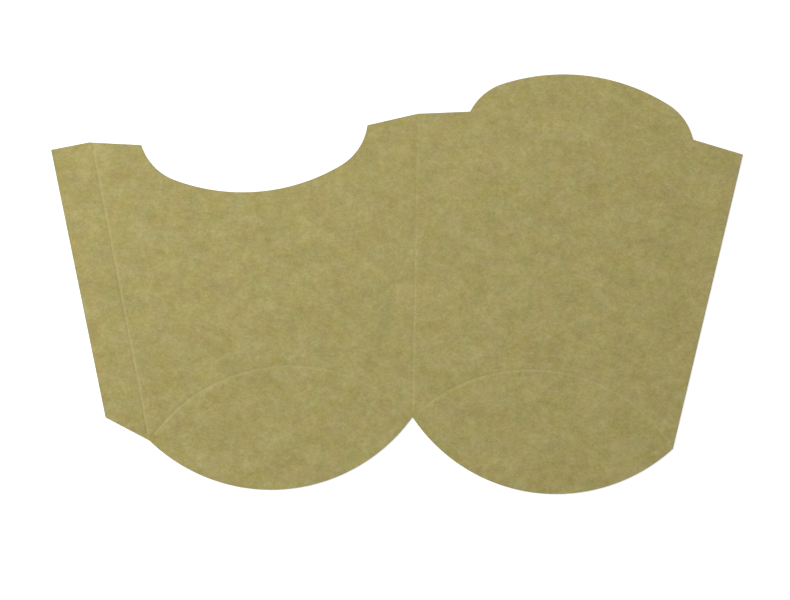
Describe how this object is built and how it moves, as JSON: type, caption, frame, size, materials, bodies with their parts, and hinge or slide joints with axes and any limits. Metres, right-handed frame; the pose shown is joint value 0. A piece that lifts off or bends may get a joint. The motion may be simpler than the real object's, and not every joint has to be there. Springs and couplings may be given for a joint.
{
  "type": "french fries box",
  "caption": "Flat die-cut blank of a kraft board french fries box, with a scooped front, a domed back, a glue flap and creased round bottom flaps.",
  "frame": {"origin": "at the foot of the crease beads, at the middle of the blank's box", "axes": "+X from the glue flap across the front panel to the back panel, +Y up the panels towards the scoop and the dome, +Z out of the outer face"},
  "size_m": [0.2246, 0.1368, 0.0005],
  "materials": {
    "kraft_board": "matte uncoated brown kraft board"
  },
  "bodies": {
    "root": {"blank": "kraft_board"}
  },
  "joints": []
}
